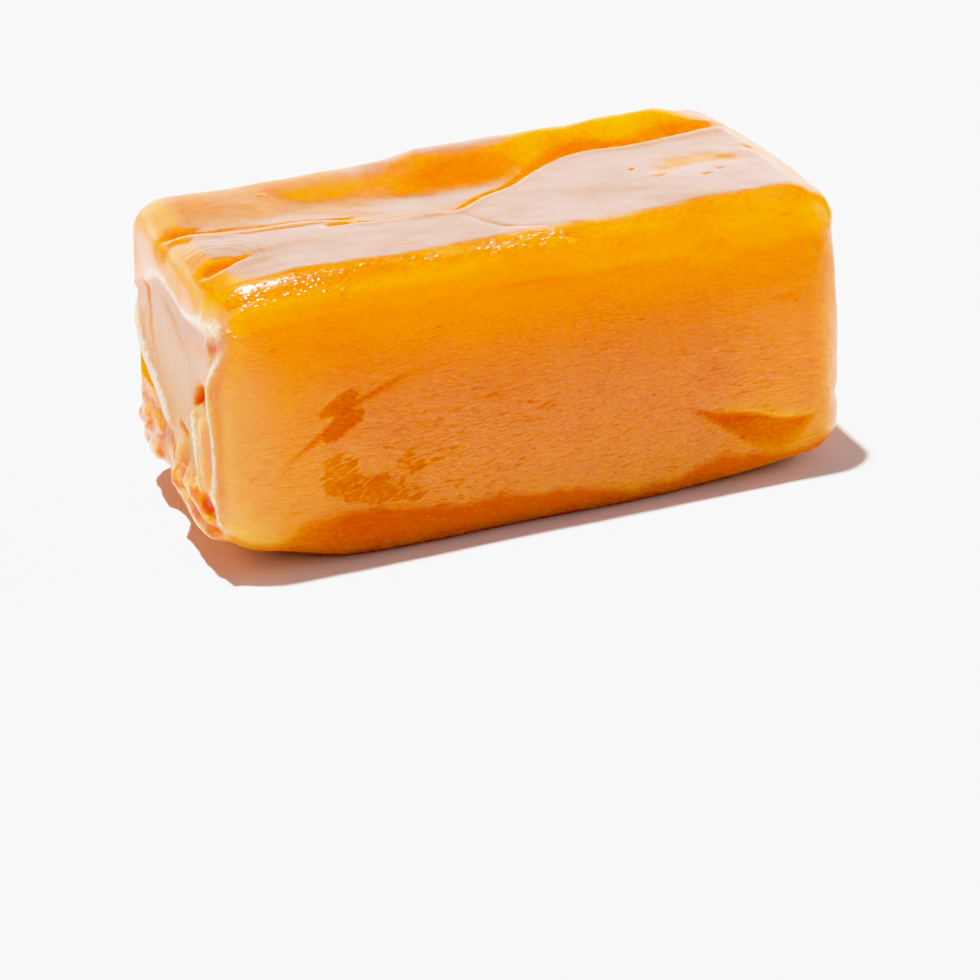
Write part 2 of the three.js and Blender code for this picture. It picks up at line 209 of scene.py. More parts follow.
# ---- The front: x, t ----
SCRATCH = [(-15.0, 10.9), (-13.6, 9.5), (-12.0, 8.4), (-10.8, 7.4), (-9.5, 6.75), (-7.4, 5.9), (-5.8, 5.5)]
SEAM = [(-5.0, 1.9), (-0.6, 1.9), (1.5, 2.1), (4.3, 2.1), (6.1, 2.0), (8.6, 2.25), (12.2, 2.75), (15, 2.9)]
LEAVES = [  # two ragged patches beside the scratch
    {"at": (-10.8, 6.8), "half": (1.2, 0.5), "turn": -0.45},
    {"at": (-10.7, 8.0), "half": (1.4, 0.48), "turn": -0.5},
]
FRONT_MARKS = [
    {"path": SCRATCH, "width": 0.12, "height": -0.1, "taper": 0.3},
    *({**leaf, "depth": 0.1} for leaf in LEAVES),
    {"path": SEAM, "width": 0.35, "height": 0.025},
    {"at": (-8.4, 9.6), "half": (0.2, 0.12), "depth": 0.06},
    {"path": [(-16.5, 7.05), (-15.4, 7.1), (-14.4, 7.0)], "width": 0.1, "height": -0.04},
    {"path": [(-15.7, 12.0), (-15.2, 11.7), (-14.5, 11.6)], "width": 0.12, "height": -0.06},
    {"path": [(-16.2, 12.9), (-15.0, 13.3), (-13.6, 13.2)], "width": 0.3, "height": -0.1},
    {"at": (-9.2, 11.6), "half": (3.0, 1.7), "turn": 0.2, "depth": 0.14},
    {"at": (10.1, 2.35), "half": (1.15, 0.6), "turn": 0.1, "depth": 0.14},
    {"at": (14.2, 5.3), "half": (0.85, 0.22), "turn": 0.05, "depth": 0.1},
    {"path": [(15.9, 2.5), (16.2, 2.9), (16.1, 3.4)], "width": 0.12, "height": -0.1},
    {"path": [(4.2, 13.1), (5.0, 13.25), (5.8, 13.2)], "width": 0.09, "height": -0.05},
    {"path": [(2.7, 12.2), (3.2, 12.0), (3.7, 11.9)], "width": 0.08, "height": -0.05},
    {"path": [(4.8, 11.4), (5.4, 11.2), (6.0, 11.1)], "width": 0.08, "height": -0.05},
]
# An oval of uneven patches where the skin has lifted.
MOTTLE = {"at": (-9.6, 11.0), "half": (2.9, 1.7), "turn": 0.25, "depth": 0.05, "flat": 0.5, "rim": 1.1}
MOTTLE_PATCHES = (-0.02, 0.12)  # the noise where a patch begins and where it is full
# The front's sheen ends low down, on a line that drops towards the right.
VEIL_FOOT = [
    (-18, 16), (-16, 15), (-14, 13.6), (-12, 12.7), (-10, 12.64), (-7, 13.3), (-4.1, 14.0), (-2.2, 14.1),
    (0.5, 14.35), (2.4, 14.5), (5.4, 14.95), (7.4, 14.95), (9.2, 14.4), (18, 14.4),
]
# A scoop low on the right steps in along its top and slopes back out to its bottom.
SCOOP_TOP = [(8, 10.6), (9.2, 10.9), (10.1, 11.3), (12.2, 11.7), (14.5, 12.4), (16.0, 12.2), (17.5, 11.5)]
SCOOP_BOTTOM = [
    (8, 10.8), (9.3, 11.5), (10.1, 12.1), (11.4, 13.1), (12.8, 13.9), (14.2, 14.1), (15.2, 13.3),
    (16.0, 12.4), (17.5, 11.6),
]
SCOOP_DEPTH = 0.34

# ---- The back: x, t ----
BACK_MARKS = [
    {"path": [(-11.5, 5.2), (-4.0, 6.4), (3.5, 5.6)], "width": 0.7, "height": -0.25},
    {"path": [(5.0, 11.8), (9.0, 12.4), (13.5, 11.6)], "width": 0.35, "height": -0.12},
    {"at": (-7.5, 9.8), "half": (3.6, 2.0), "turn": 0.35, "depth": 0.3},
    {"at": (9.2, 8.6), "half": (3.2, 1.8), "turn": -0.4, "depth": 0.28},
]

# Waves all over the soft block: their size and their height.
UNDULATION = [(6.5, 0.16), (2.4, 0.05), (0.9, 0.016)]


# ---- Small functions on whole arrays ----
def smooth(x, start, end):
    t = np.clip((x - start) / (end - start), 0, 1)  # the end may be the smaller of the two
    return t * t * (3 - 2 * t)


def between(x, rise, fall):
    """1 between two ranges, in which it rises and falls."""
    return smooth(x, *rise) * (1 - smooth(x, *fall))


def hump(distance, width):
    return np.exp(-((distance / width) ** 2))


def line_through(x, points):
    """y of a smooth line through points, at each x."""
    px, py = np.array(points, float).T
    slopes = np.gradient(py, px)
    i = np.clip(np.searchsorted(px, x) - 1, 0, len(px) - 2)
    step = px[i + 1] - px[i]
    t = np.clip((x - px[i]) / step, 0, 1)
    rise = py[i + 1] - py[i]
    return (
        py[i]
        + rise * t * t * (3 - 2 * t)
        + step * (slopes[i] * t * (1 - t) ** 2 - slopes[i + 1] * t * t * (1 - t))
    )


def from_path(a, b, path):
    """The distance of each point (a, b) from a path of points, and how far along the path, from 0 to 1,
    its nearest point lies."""
    nearest = np.full(a.shape, np.inf)
    share = np.zeros(a.shape)
    lengths = [math.dist(p, q) for p, q in zip(path, path[1:])]
    gone = 0.0
    for (pa, pb), (qa, qb), length in zip(path, path[1:], lengths):
        s = np.clip(((a - pa) * (qa - pa) + (b - pb) * (qb - pb)) / length**2, 0, 1)
        d = np.hypot(a - pa - s * (qa - pa), b - pb - s * (qb - pb))
        closer = d < nearest
        nearest = np.where(closer, d, nearest)
        share = np.where(closer, (gone + s * length) / sum(lengths), share)
        gone += length
    return nearest, share


def ridge(a, b, path, width, height=1.0, taper=0.2, crisp=2.0):
    """A ridge along a path, or with a negative height a furrow. It runs out over the taper at both
    ends, and a crisp above 2 gives it steeper sides."""
    reach = 4 * width  # past it nothing is left of the ridge
    near = (a > min(p[0] for p in path) - reach) & (a < max(p[0] for p in path) + reach)
    out = np.zeros(a.shape)
    distance, share = from_path(a[near], b[near], path)
    run_out = smooth(share, 0, taper) * smooth(1 - share, 0, taper) if taper else 1.0
    out[near] = height * np.exp(-((distance / width) ** crisp)) * run_out
    return out


def dent(a, b, at, half, turn=0.0, depth=1.0, flat=0.3, rim=1.25):
    """An oval dent's depth: full inside flat and gone past rim, both as shares of its half sizes."""
    along = (a - at[0]) * math.cos(turn) + (b - at[1]) * math.sin(turn)
    across = (b - at[1]) * math.cos(turn) - (a - at[0]) * math.sin(turn)
    return depth * (1 - smooth(np.hypot(along / half[0], across / half[1]), flat, rim))


def rough(points, size, seed, stretch=(1, 1, 1)):
    """Smooth noise from about -0.5 to 0.5 at each point, with lumps of that size in millimetres."""
    scaled = points / (size * np.array(stretch)) + np.array([7.3, 3.1, 5.7]) * seed
    return np.array([noise.noise(p) for p in scaled.tolist()])


# ---- The soft block ----
def corner_weight(u, at):
    return np.prod((1 + np.array(at) * u) / 2, axis=1)


def edge_radius(u):
    total, weights = 0, 1e-12  # no edge is near in the middle of the block
    for edge in EDGES:
        i, j = [axis for axis in range(3) if axis != edge["along"]]
        near = ((1 + edge["sides"][0] * u[:, i]) / 2 * (1 + edge["sides"][1] * u[:, j]) / 2) ** EDGE_HOLD
        total = total + near * edge["radius"]
        weights = weights + near
    for corner in ROUNDER_CORNERS:
        near = corner["weight"] * corner_weight(u, corner["at"]) ** corner["hold"]
        total = total + near * corner["radius"]
        weights = weights + near
    return total / weights


def round_edges(points):
    """Points of the sharp box, moved onto the box with rounded edges, and the normals there."""
    radius = edge_radius(points / HALF)[:, None]
    core = np.clip(points, radius - HALF, HALF - radius)
    normals = points - core
    normals /= np.linalg.norm(normals, axis=1, keepdims=True)
    return core + radius * normals, normals


def slump(points):
    """Moves the corners, crowns the right end and lifts the underside's ends."""
    u = points / HALF
    moved = points.copy()
    for corner in CORNERS:
        moved += corner_weight(u, corner["at"])[:, None] * np.array(corner["moved"])
    moved[:, 0] += RIGHT_CROWN * (1 - u[:, 1] ** 2) * smooth(u[:, 0], 0.5, 1)
    start, end = FRONT_LEAN["from"], FRONT_LEAN["to"]
    above = end - np.clip(HALF[2] - points[:, 2], start, end)
    moved[:, 1] += FRONT_LEAN["slope"] / (end - start) / 2 * above**2 * smooth(-u[:, 1], -0.2, 0.8)
    droop = smooth(points[:, 0], *DROOP["x"]) * smooth(points[:, 1], *DROOP["y"]) * smooth(u[:, 2], -0.6, 1)
    moved[:, 2] -= DROOP["drop"] * droop
    low = 1 - smooth(u[:, 2], -1, 0.4)
    for side, lift in ((LEFT, LIFT_LEFT), (RIGHT, LIFT_RIGHT)):
        moved[:, 2] += low * lift["rise"] * smooth(side * moved[:, 0], lift["start"], lift["end"])
    return moved


# ---- Relief of each side, in millimetres outwards ----
def marks(a, b, side_marks):
    """The height that a side's furrows, ridges and dents add at each point (a, b)."""
    out = np.zeros(a.shape)
    for mark in side_marks:
        if "path" in mark:
            out += ridge(a, b, **mark)
        else:
            out -= dent(a, b, **mark)
    return out


def top_relief(x, y, p):
    behind = y - line_through(x, FOLD_LINE)
    rimmed = 1 - smooth(x, *RIM["end"])
    rim_y = RIM["y"] + (RIM["y_right"] - RIM["y"]) * smooth(x, *RIM["shift"])
    rim = (RIM["low"] + (RIM["high"] - RIM["low"]) * smooth(x, *RIM["rise"])) * rimmed
    for dip in RIM_DIPS:
        rim -= dip["depth"] * hump(x - dip["x"], dip["width"])
    hollow = hump(x - FOLD_DEPTH["hollow_x"], FOLD_DEPTH["half_length"])
    depth = FOLD_DEPTH["everywhere"] + FOLD_DEPTH["in_hollow"] * hollow
    depth *= 1 - FOLD_DEPTH["less_at_end"] * (1 - rimmed)
    ledge = LEDGE["width"] * between(x, LEDGE["rise"], LEDGE["fall"])
    climb = smooth(y, y - behind + 0.1 + ledge, rim_y) * (rim + depth) - depth
    past = y - rim_y
    back = climb - RIM["fall"] * np.maximum(past, 0) * smooth(past, 0, 1.2) * rimmed
    edge = FOLD_EDGE + FOLD_SOFTER * hollow
    step = smooth(behind, -edge, edge)
    lip = FOLD_LIP["height"] * hump(behind - FOLD_LIP["behind"], FOLD_LIP["width"]) * (1 - step)
    crease = FOLD_CREASE["depth"] * hump(behind - FOLD_CREASE["behind"], FOLD_CREASE["width"])
    crease *= between(x, FOLD_CREASE["rise"], FOLD_CREASE["fall"])
    return step * back + lip - crease + marks(x, y, TOP_MARKS)


def crumple(y, t, p, seed):
    """Torn folds, about from -0.5 to 0.5, that run towards the front and a little down."""
    folded = np.stack([p[:, 0] * 0.4, 0.38 * y, t + 0.22 * y + 1.5 * rough(p, 2.2, seed)], axis=1)
    fold = 0.5 - 2.6 * np.abs(rough(folded, 1.5, seed + 1))
    return fold + 0.35 * rough(p, 0.8, seed + 2) + 0.12 * rough(p, 0.3, seed + 3)


def left_relief(y, t, p):
    lip_t = line_through(y, LIP_LINE)
    lip = LIP * (1 - smooth(t, lip_t - 0.15, lip_t + 0.2)) * smooth(y, -8.4, -7.0)
    roll = LIP_ROLL["height"] * hump(t - lip_t + LIP_ROLL["above"], LIP_ROLL["width"])
    roll *= between(y, (-8.2, -7.2), (4, 6))
    foot = smooth(t, 9.6, 11.6) * (1 - 0.6 * smooth(t, 13.6, 15.2)) * smooth(y, -8.2, -6.8)
    return lip + roll + marks(y, t, LEFT_MARKS) + LEFT_CRUMPLE * crumple(y, t, p, 11) * foot


def right_relief(y, t, p):
    lip = RIGHT_LIP * (1 - smooth(t, 1.9, 2.6))
    foot = smooth(t, 9.6, 12.0) * (1 - 0.6 * smooth(t, 13.2, 14.8))
    return lip + marks(y, t, RIGHT_MARKS) + RIGHT_CRUMPLE * crumple(-y, t, p, 23) * foot


def front_relief(x, t, p):
    patches = smooth(rough(p, 0.9, 31, (1.6, 1, 0.8)) + 0.5 * rough(p, 0.35, 32), *MOTTLE_PATCHES)
    top, bottom = line_through(x, SCOOP_TOP), line_through(x, SCOOP_BOTTOM)
    down = (t - top) / np.maximum(bottom - top, 0.05)
    scoop = SCOOP_DEPTH * smooth(t, top - 0.15, top + 0.2) * (1 - smooth(down, 0, 1))
    scoop *= smooth(bottom - top, 0.1, 1.2)
    return marks(x, t, FRONT_MARKS) - dent(x, t, **MOTTLE) * patches - scoop


def back_relief(x, t, p):
    return marks(x, t, BACK_MARKS)


SIDE_FADE = (0.45, 0.9)  # a side's relief fades out as its edges turn away


def facing(normals, axis, sign):
    return smooth(sign * normals[:, axis], *SIDE_FADE)


def relief(p, normals):
    x, y, z = p.T
    t = HALF[2] - z
    out = np.zeros(len(p))
    for axis, sign, side, a, b in (
        (2, TOP, top_relief, x, y),
        (0, LEFT, left_relief, y, t),
        (0, RIGHT, right_relief, y, t),
        (1, FRONT, front_relief, x, t),
        (1, BACK, back_relief, x, t),
    ):
        weight = facing(normals, axis, sign)
        on = weight > 0
        out[on] += weight[on] * side(a[on], b[on], p[on])
    for seed, (size, height) in enumerate(UNDULATION, 1):
        out += height * rough(p, size, seed)
    return out


# ---- Zones of the surface that the material treats differently, each from 0 to 1 ----
# Their spots are listed like marks, with a height or depth that says how strong they are.
BLOTCHES = [
    {"at": (-10.95, 10.6), "half": (1.3, 1.6), "flat": 0.5, "rim": 1.2},
    {"at": (-7.2, 10.7), "half": (1.2, 1.0), "depth": 0.95, "flat": 0.4, "rim": 1.2},
    {"at": (-8.8, 11.9), "half": (2.1, 1.2), "turn": 0.15, "depth": 1.2, "rim": 1.1},
    {"at": (-7.0, 12.6), "half": (0.8, 0.6)},
    {"at": (-8.5, 9.6), "half": (0.3, 0.2), "depth": 1.5},
    {"at": (-10.2, 11.8), "half": (2.2, 0.9), "turn": 0.3, "depth": 0.7},
]
AMBER_CORNER = {"at": (-15.6, 1.6), "half": (2.0, 1.6), "depth": 0.15, "flat": 0.2, "rim": 1.2}

# Gaps where the left end tore: dull, and painted darker as shade.
GAPS = [
    {"path": NOTCH, "width": 0.4, "height": 1.3, "taper": 0.05},
    {"at": (-5.6, 6.7), "half": (1.3, 0.5), "turn": 0.1},
    SLIT,
    {"path": TEAR, "width": 0.25},
]
CLEAR_PATCH = {"at": (-5.4, 3.9), "half": (1.7, 0.5), "turn": 0.15, "depth": 0.5}

FOLD_ENDS = [{"path": FOLD_START, "width": 0.16}, {"path": FOLD_TAIL, "width": 0.16, "height": 0.8}]
HOLLOWS = [
    {"at": (0.8, 3.2), "half": (4.2, 1.9), "flat": 0.45, "rim": 1.1},
    {"at": (-3.5, 3.6), "half": (3.8, 1.9), "depth": 0.3},
]
STAINS = [
    {"path": STAIN, "width": 0.5, "height": 0.8},
    {"path": STAIN_BRANCH, "width": 0.4, "height": 0.75},
    {**STAIN_SPOT, "half": (0.8, 0.25), "depth": 0.6},
]
NEAR_CORNER = {"at": (-15.9, -5.6), "half": (2.2, 0.9), "turn": -0.3, "depth": 0.55, "flat": 0.4, "rim": 1.2}
PIT_SPOTS = [{**PIT, "half": (1.1, 0.6)}, {"path": PIT_TAIL, "width": 0.2}]
DULL_BY_PIT = {"at": (-15.4, -3.5), "half": (1.3, 0.8), "turn": 0.25, "flat": 0.6, "rim": 1.2}
GLINT = {"at": (-14.9, -6.9), "half": (2.2, 1.3), "flat": 0.6, "rim": 1.2}
RINGS = [
    {"at": (-14.4, -2.4), "half": (3.0, 3.2), "flat": 0.5, "rim": 1.2},
    {"at": (5.5, -5.6), "half": (3.6, 1.7), "turn": -0.2, "flat": 0.5, "rim": 1.2},
]
RINGS_OFF = {"x": -14.8, "y": -3.8, "rise": (0.8, 2)}  # the first ones keep clear of the pit
# On the edges: where the fold runs out over the left one, with painted shade in its crease, and where a
# second highlight stays away.
FOLD_END = {"at": (-16.8, 1.3, 0.9), "half": (0.8, 1.5, 0.9), "flat": 0.6, "rim": 1.15}
NO_GLINT = {"at": (-16.2, -6.5, 1.2), "half": (1, 1, 1), "flat": 0.5, "rim": 1.0}
# Blisters crowd at these places along the top front edge.
CROWDS = [{"x": -11, "width": 3.5, "more": 0.3}, {"x": -14.2, "width": 1.2, "more": 0.3},
          {"x": -3, "width": 4, "more": 0.2}]
# How upright the normals are where the top wears its painted shade, before and after the relief.
UPRIGHT_BEFORE, UPRIGHT_AFTER = (0.97, 0.999), (0.97, 0.997)


def spots(a, b, listed):
    """The sum of a zone's ridges and ovals."""
    return sum(ridge(a, b, **spot) if "path" in spot else dent(a, b, **spot) for spot in listed)


def ball(x, y, t, at, half, flat, rim):
    """A spot in space: full inside flat and gone past rim, both as shares of its half sizes."""
    along, across, down = ((place - middle) / size for place, middle, size in zip((x, y, t), at, half))
    return 1 - smooth(np.sqrt(along**2 + across**2 + down**2), flat, rim)


def front_zones(x, t, p, cloudy):
    """Amber, with painted shade down the middle, low down and in the scoop and the scratch, a painted sheen
    and glow beside the cut, and dull near the top, low down and in the scoop and the scratch."""
    scratch = ridge(x, t, SCRATCH, 0.1, taper=0.3)
    top, bottom = line_through(x, SCOOP_TOP), line_through(x, SCOOP_BOTTOM)
    scoop = smooth(t, top - 0.1, top + 0.3) * (1 - smooth(t, bottom - 0.4, bottom + 0.2))
    scoop *= smooth(bottom - top, 0.1, 0.8)
    foot_t = line_through(x, VEIL_FOOT)
    low = smooth(t + 0.5 * cloudy, foot_t - 0.5, foot_t + 0.4)
    off_cut = smooth(x, -17, -13)
    upper = 0.72 * (1 - smooth(t, 2.5, 10)) * off_cut

    # painted shade: amber grows down the front from its glowing top edge and low down, and fills the scratch
    # and the scoop
    inner = smooth(x, -14.5, -9) * (1 - 0.85 * smooth(x, 9, 15))
    amber_and_shade = inner * (0.46 * smooth(t, 2.5, 7) - 0.1 * smooth(t, 9, 13)) + 0.12 * cloudy
    amber_and_shade += 0.8 * off_cut * low * (1 - 0.6 * smooth(t, 14.5, 15.4))
    amber_and_shade += 0.5 * scratch + 0.45 * scoop * (1 - smooth(x, 13, 16))

    # painted sheen and glow: peach on the front beside the left cut
    painted_sheen = 0.36 * (1 - smooth(x, -17, -13.3)) * smooth(t, 2, 7)
    painted_sheen += 0.4 * (1 - smooth(x, -17.3, -16.2)) * smooth(t, 2.5, 5)
    leaves = sum(dent(x, t, **leaf, flat=0.7, rim=1.1) for leaf in LEAVES)
    leaves = smooth(leaves + 0.6 * rough(p, 0.5, 47, (1.6, 1, 0.6)), 0.2, 0.6)
    blotches = 0.55 * np.minimum(spots(x, t, BLOTCHES), 1)
    return {
        "amber_and_shade": np.clip(amber_and_shade, 0, 1),
        "dull": np.clip(scratch + 0.8 * scoop + 0.9 * low + upper, 0, 1),
        "painted_sheen": painted_sheen,
        "stuck": np.clip(np.maximum(blotches, leaves), 0, 1),
        "dashes": smooth(x, -12, -5) * smooth(t, 3, 6) * (0.5 + 0.5 * smooth(t, 6, 10)),
        "rugged": smooth(t, 1.9, 2.6),
    }


def left_zones(y, t, torn, broken):
    """A milky cut face between whiter rims, partly a painted sheen and highlight, with gaps where it tore
    round a plainer tongue.
    """
    lip_t = line_through(y, LIP_LINE)
    near_y, far_y = (line_through(t, [(b, a) for a, b in rim]) for rim in (NEAR_RIM, FAR_RIM))
    face = smooth(t, lip_t - 0.6, lip_t) * (1 - smooth(t + 0.5 * torn, 10.2, 12.0))
    inside = smooth(y, near_y - 0.05, near_y + 0.25) * (1 - smooth(y, far_y - 0.1, far_y + 0.3))
    tongue = ridge(y, t, TONGUE, 0.9, taper=0.1, crisp=4)
    gaps = spots(y, t, GAPS)

    roll = hump(t - lip_t + LIP_ROLL["above"], LIP_ROLL["width"] + 0.3 * smooth(-y, 5, 7))
    roll *= between(y, (-8, -7.4), (3, 5))
    far_rim, tongue_edge = ridge(y, t, FAR_RIM, 0.38, taper=0.1), ridge(y, t, TONGUE_EDGE, 0.14, 0.8, 0.05)
    # white rims and the milky face: stretched caramel, partly a painted highlight and sheen
    rims = np.maximum.reduce([far_rim, tongue_edge, roll]) * (0.75 + 0.2 * broken)
    rims = np.maximum(rims, ridge(y, t, NEAR_RIM, 0.2, 0.9, 0.05))
    milky = 0.55 * face * inside * (1 - tongue) * (0.8 + 0.2 * broken - dent(y, t, **CLEAR_PATCH))

    past_rim = smooth(y, far_y + 0.2, far_y + 0.7) * between(t, (4.5, 6), (9, 10))
    dull = 0.4 * smooth(t, 6.5, 9) * (1 - tongue) + np.clip(past_rim + 0.7 * gaps, 0, 1)
    dull += 0.35 * (1 - smooth(t, lip_t - 0.7, lip_t - 0.4)) * (1 - smooth(y, 3, 5))
    return {"face": face, "tongue": tongue, "gaps": gaps, "pale_and_sheen": np.clip(milky + rims, 0, 1), "dull": dull}


def top_zones(x, y, cloudy):
    """A skin of painted shade, missing in the crease and the hollow behind the fold, at the back of the right
    end, by the front left corner and on the stains. Amber paints shade over the top, more in the crease,
    hollow and pit."""
    behind = y - line_through(x, FOLD_LINE)
    crease = smooth(behind, -0.05, 0.1) * (1 - smooth(behind, *FOLD_FOOT)) * (1 - smooth(x, 10, 13))
    crease += spots(x, y, FOLD_ENDS)
    ribbon = between(behind, (0, 0.15), (0.9, 1.5)) * smooth(x, -2.6, -0.5)
    hollow = np.maximum.reduce([ribbon] + [dent(x, y, **spot) for spot in HOLLOWS])
    back_right = smooth(behind, 0.1, 0.6) * between(x, (3.0, 5.0), (14.5, 16.5))
    back_strip = smooth(behind, 0.8, 1.8) * (1 - smooth(x, -7, -3))
    bare = crease + dent(x, y, **NEAR_CORNER) + spots(x, y, STAINS)
    pit = spots(x, y, PIT_SPOTS)

    # painted shade: amber over the top, more in the crease, the hollow and the pit
    amber_and_shade = np.clip(0.6 + 0.25 * cloudy + 0.35 * (crease + hollow) - 0.1 * (back_right + back_strip), 0, 1)
    dull = np.clip(0.86 * hollow + 0.9 * back_right + 0.75 * back_strip + bare, 0, 1)
    off_pit = np.hypot(x - RINGS_OFF["x"], y - RINGS_OFF["y"])
    first, second = (dent(x, y, **ring) for ring in RINGS)
    return {
        "amber_and_shade": amber_and_shade + 0.4 * pit,
        "dull": dull + pit + dent(x, y, **DULL_BY_PIT),
        "skin": 1 - 0.8 * (hollow + back_right) - 0.25 * back_strip - bare,
        "pit": np.clip(pit, 0, 1),
        "rings": first * smooth(off_pit, *RINGS_OFF["rise"]) + second,
    }


def zones(p, normals):
    """What the material reads at each point.
    amber_and_shade: amber, partly painted shade in creases, pits, gaps and low on the front, from the honey
    of the edges
    pale_and_sheen: milky where the blade has stretched it, and white at most, partly painted sheen and
    highlight
    painted_sheen, skin: a painted sheen and glow beside the left cut, and painted shade on the flat of the
    top
    dull: no sheen
    wet, corner: a sharper highlight, and a softer one
    foot, far: torn into flakes, and the part of the left end with fewer milky ones
    stuck, dashes, rugged, blisters, rings, scrapes: fine texture"""
    x, y, z = p.T
    t = HALF[2] - z
    left, right, front, back, top = (
        facing(normals, axis, sign) for axis, sign in ((0, LEFT), (0, RIGHT), (1, FRONT), (1, BACK), (2, TOP))
    )
    torn = 0.5 + 1.4 * rough(p, 1.3, 41) + 0.8 * rough(p, 0.4, 42)
    cloudy = rough(p, 4.5, 43) + 0.5 * rough(p, 1.4, 44)
    broken = smooth(0.5 + 1.6 * rough(p, 0.8, 45) + rough(p, 0.25, 46), 0.15, 0.6)
    on_front, on_top = front_zones(x, t, p, cloudy), top_zones(x, y, cloudy)
    on_left = left_zones(y, t, torn, broken)
    fold_end = ball(x, y, t, **FOLD_END)
    foot = smooth(t, 9.8, 11.0)
    gaps, tongue = on_left["gaps"], on_left["tongue"]

    # the back left of the top painted pale: a painted sheen
    back_left = smooth(-x, 14.6, 16.4) * smooth(y, 2.0, 4.0) * (1 - smooth(t, 1.6, 3)) * (1 - left)
    right_face = smooth(t, 2.0, 4.5) * (1 - smooth(t + 0.5 * torn, 9.5, 12.5))
    pale_and_sheen = left * on_left["pale_and_sheen"] * (1 - left * np.clip(gaps, 0, 1)) + 0.5 * back_left
    pale_and_sheen += right * np.clip(0.3 + 0.3 * cloudy, 0, 1) * right_face

    # amber, partly painted shade: in the torn gaps and where the fold runs out over the left edge
    amber_and_shade = top * on_top["amber_and_shade"] + front * on_front["amber_and_shade"] + 0.35 * right
    amber_and_shade += back * np.clip(0.4 + 0.3 * cloudy, 0, 1) + dent(x, t, **AMBER_CORNER) * (1 - top)
    amber_and_shade += left * (np.clip(0.35 * (1 - pale_and_sheen) + 0.4 * gaps, 0, 1) + 0.3 * foot * broken) + 0.3 * fold_end
    dull = top * on_top["dull"] + front * on_front["dull"] + left * on_left["dull"]
    dull += 0.6 * fold_end + ball(x, y, t, **NO_GLINT)
    # painted shade: the darker colour on the upright flat of the top
    skin = np.clip(on_top["skin"] - fold_end, 0, 1) * (1 - on_top["pit"]) * top
    skin *= smooth(normals[:, 2], *UPRIGHT_BEFORE)

    front_edge = smooth(normals[:, 2], 0.35, 0.6) * smooth(-normals[:, 1], 0.2, 0.45)
    crowded = sum(crowd["more"] * hump(x - crowd["x"], crowd["width"]) for crowd in CROWDS)
    blisters = front_edge * smooth(rough(p, 2.6, 51) + crowded, 0, 0.15)
    blisters *= (0.5 + 0.5 * smooth(x, -13, -11)) * (1 - smooth(x, 2, 6))
    torn_wet = left * smooth(t, 6, 8) * np.clip(1 - pale_and_sheen, 0, 1) + right * foot
    return {
        "amber_and_shade": amber_and_shade,
        "pale_and_sheen": pale_and_sheen,
        "painted_sheen": front * on_front["painted_sheen"],
        "skin": skin,
        "dull": dull,
        "wet": np.maximum(front_edge * (1 - smooth(x, 0, 6)), torn_wet),
        "corner": dent(x, y, **GLINT) * smooth(t, 2.5, 1.5),
        "foot": left * foot * (1 - tongue) + 0.35 * right * foot,
        "far": left * smooth(y, 1, 3),
        "stuck": front * on_front["stuck"],
        "dashes": front * on_front["dashes"],
        "rugged": 0.12 + 0.88 * front * on_front["rugged"],
        "blisters": blisters,
        "rings": top * on_top["rings"],
        "scrapes": left * on_left["face"],
    }


# ---- The skin ----
# The finest lattice on the box, and how many of its cells each side's own cells span.
LATTICE = (528, 280, 248)
CROWDING = 1.2  # the higher, the closer the lattice lies near the edges
SPAN = {(0, LEFT): 2, (0, RIGHT): 4, (1, FRONT): 2, (1, BACK): 8, (2, TOP): 2, (2, BOTTOM): 8}


def skin_cells():
    """The box's corners in lattice steps, and its cells as loops of them. A coarse cell's loop takes in
    the fine corners along its neighbour's edge, so the skin is closed."""
    index = {}
    cells = []
    for (axis, sign), span in SPAN.items():
        i, j = [(1, 2), (2, 0), (0, 1)][axis]
        fixed = LATTICE[axis] if sign > 0 else 0
        for a in range(0, LATTICE[i], span):
            for b in range(0, LATTICE[j], span):
                steps = range(span)
                walk = [(a + s, b) for s in steps] + [(a + span, b + s) for s in steps]
                walk += [(a + span - s, b + span) for s in steps] + [(a, b + span - s) for s in steps]
                loop = []
                for k, (ca, cb) in enumerate(walk):
                    corner = [0, 0, 0]
                    corner[axis], corner[i], corner[j] = fixed, ca, cb
                    corner = tuple(corner)
                    if k % span == 0:
                        index.setdefault(corner, len(index))
                    loop.append(corner)
                cells.append(loop if sign > 0 else loop[::-1])
    loops = [[index[c] for c in cell if c in index] for cell in cells]
    return np.array(list(index), float), loops


def caramel_mesh():
    corners, loops = skin_cells()
    u = np.sin(CROWDING * (2 * corners / np.array(LATTICE) - 1)) / math.sin(CROWDING)
    points, normals = round_edges(u * HALF)
    points = slump(points)
    painted = zones(points, normals)
    points += relief(points, normals)[:, None] * normals
    points -= [OFF_CENTRE[0], OFF_CENTRE[1], FOOT_CUT - HALF[2]]
    points[:, 2] = np.maximum(points[:, 2], 0)
    mesh = bpy.data.meshes.new("caramel_block")
    mesh.from_pydata((points * MM).tolist(), [], loops)
    upright = np.empty(len(mesh.vertices) * 3)
    mesh.vertices.foreach_get("normal", upright)
    painted["skin"] *= smooth(upright[2::3], *UPRIGHT_AFTER)
    mesh.polygons.foreach_set("use_smooth", [True] * len(mesh.polygons))
    for name, values in painted.items():
        attribute = mesh.attributes.new(name, "FLOAT", "POINT")
        attribute.data.foreach_set("value", np.clip(values, 0, 1).astype(np.float32))
    mesh.update()
    return mesh


